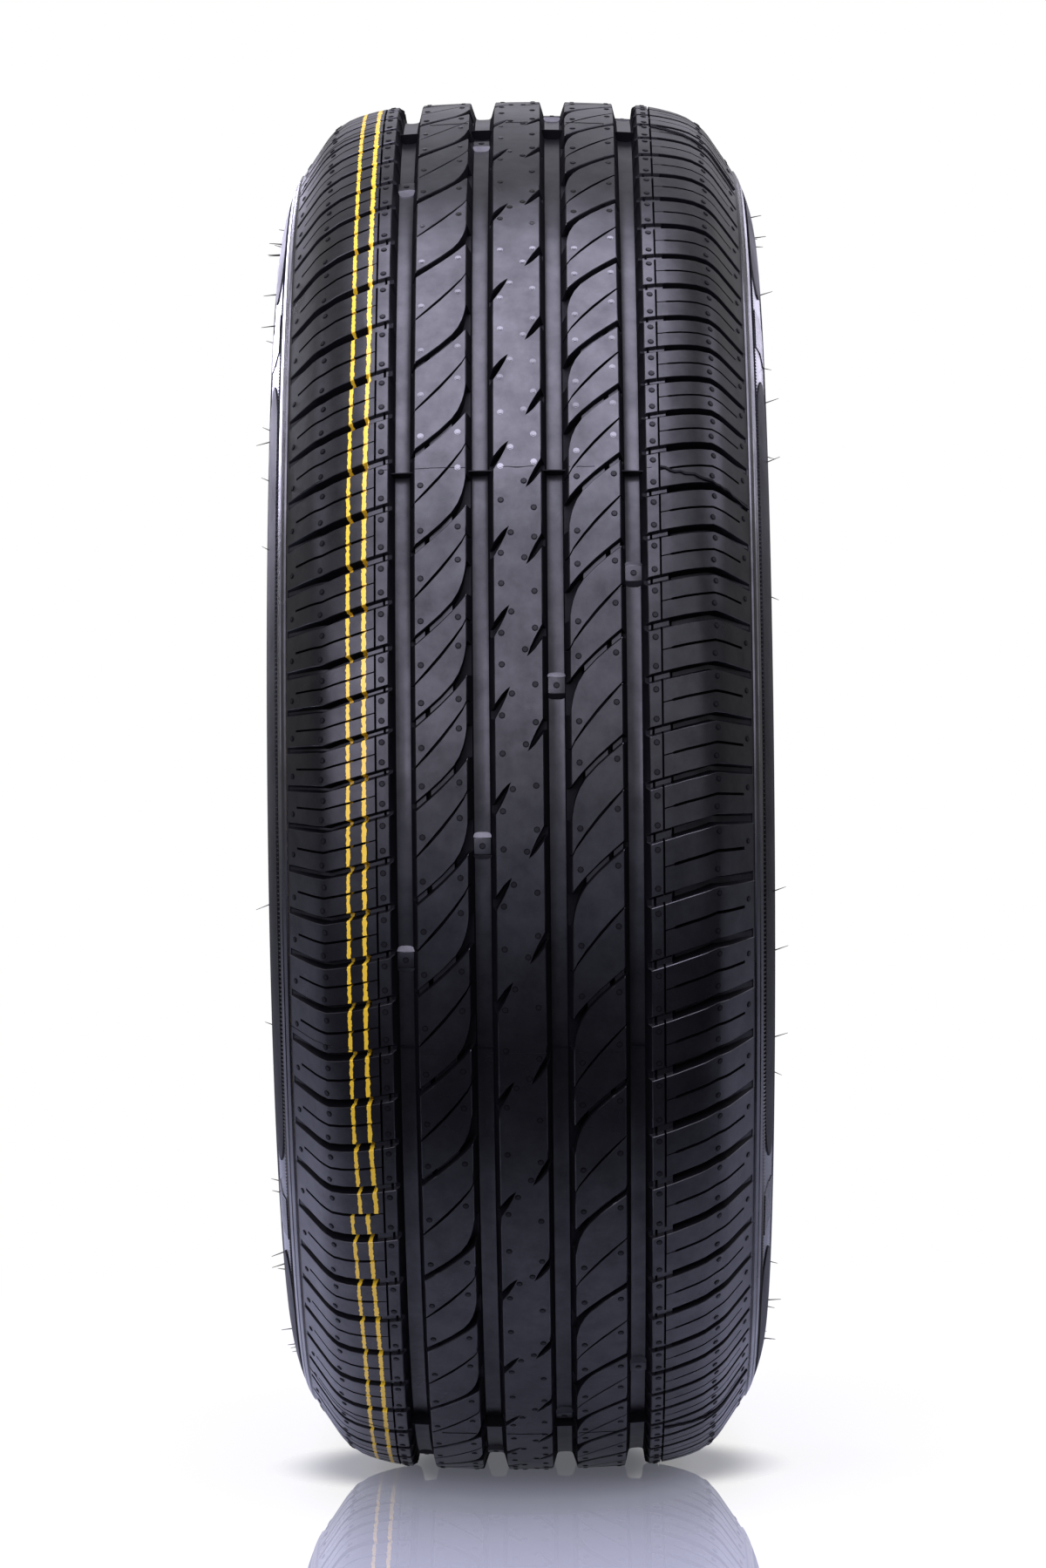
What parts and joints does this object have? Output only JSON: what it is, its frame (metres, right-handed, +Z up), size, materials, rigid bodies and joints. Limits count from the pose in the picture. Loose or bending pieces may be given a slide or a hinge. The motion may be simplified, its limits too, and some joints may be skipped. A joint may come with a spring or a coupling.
{
  "type": "car tyre",
  "caption": "Tubeless road tyre moulded in one piece, with ribbed and grooved tread, rounded shoulders, plain sidewalls and two beads that seat on a rim.",
  "frame": {"origin": "centre of the tyre, on the spin axis and in the middle plane of the tread", "axes": "+Y along the spin axis, +Z up with the tyre standing on its tread, +X towards the viewer of the tread"},
  "size_m": [0.632, 0.2144, 0.632],
  "materials": {
    "tyre_rubber": "moulded, satin"
  },
  "bodies": {
    "root": {"tyre": "tyre_rubber"}
  },
  "joints": []
}
